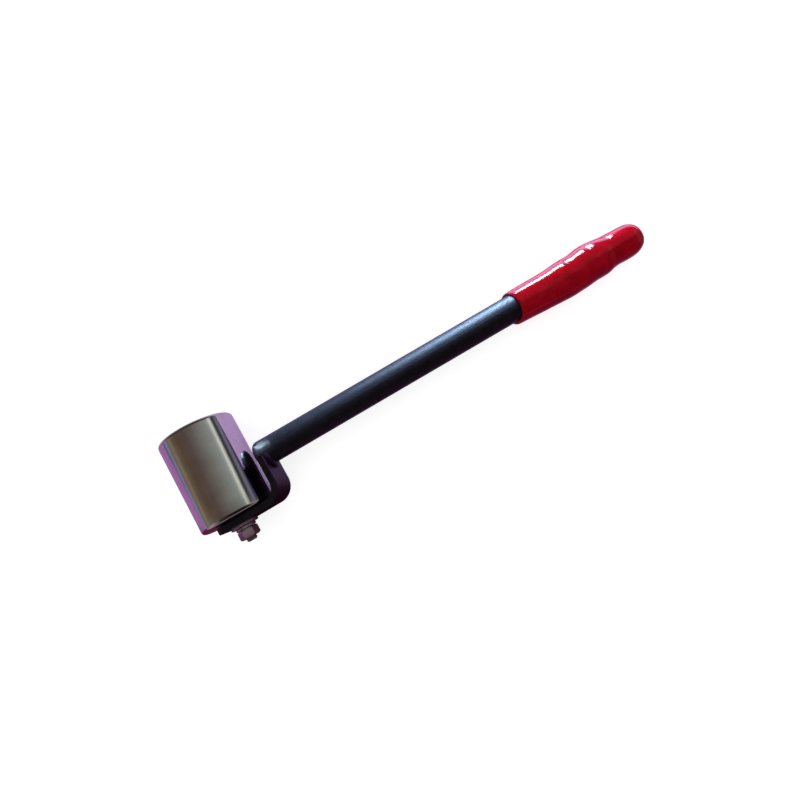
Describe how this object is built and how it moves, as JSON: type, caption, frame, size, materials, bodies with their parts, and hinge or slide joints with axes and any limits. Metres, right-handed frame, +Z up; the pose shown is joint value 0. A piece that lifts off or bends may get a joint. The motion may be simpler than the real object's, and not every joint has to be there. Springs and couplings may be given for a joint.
{
  "type": "seam roller",
  "caption": "Hand seam roller: smooth steel roller on a one-sided bent flat-bar arm, straight round handle with a soft swelled grip.",
  "frame": {"origin": "centre of the base of the resting tool's bounding box", "axes": "+X along the handle towards the grip, +Y along the roller axle towards its free end, +Z up; the tool lies as it rests, on its roller and the underside of its grip"},
  "size_m": [0.3792, 0.089, 0.055],
  "materials": {
    "chrome_roller": "polished hard chrome",
    "powder_coat": "satin black powder coat",
    "grip_vinyl": "glossy dipped vinyl",
    "zinc": "dull zinc plate",
    "bearing_steel": "ground bearing steel",
    "cage_steel": "pressed steel",
    "seal_rubber": "moulded rubber"
  },
  "bodies": {
    "frame": {"handle_rod": "powder_coat", "bracket": "powder_coat", "weld_bead": "powder_coat", "hand_grip": "grip_vinyl", "axle_bolt": "zinc", "head_shim": "zinc", "bearing_spacer": "bearing_steel", "arm_spacer": "zinc", "flat_washer": "zinc", "spring_washer": "zinc", "hex_nut": "zinc", "free_inner_ring": "bearing_steel", "arm_inner_ring": "bearing_steel"},
    "roller": {"roller_shell": "chrome_roller", "free_outer_ring": "bearing_steel", "arm_outer_ring": "bearing_steel", "free_seal_outside": "seal_rubber", "free_seal_inside": "seal_rubber", "arm_seal_outside": "seal_rubber", "arm_seal_inside": "seal_rubber"},
    "free_balls": {"free_ball_set": "bearing_steel", "free_ball_cage": "cage_steel"},
    "arm_balls": {"arm_ball_set": "bearing_steel", "arm_ball_cage": "cage_steel"}
  },
  "joints": [
    {"name": "roller_spin", "type": "hinge", "parent": "frame", "child": "roller", "pos_m": [-0.16206, 0.0095, 0.0275], "axis": [0, 1, 0], "continuous": true},
    {"name": "free_balls_spin", "type": "hinge", "parent": "frame", "child": "free_balls", "pos_m": [-0.16206, 0.031, 0.0275], "axis": [0, 1, 0], "continuous": true},
    {"name": "arm_balls_spin", "type": "hinge", "parent": "frame", "child": "arm_balls", "pos_m": [-0.16206, -0.0215, 0.0275], "axis": [0, 1, 0], "continuous": true}
  ],
  "couplings": [
    {"joint": "free_balls_spin", "follows": "roller_spin", "ratio": 0.63},
    {"joint": "arm_balls_spin", "follows": "roller_spin", "ratio": 0.63}
  ]
}
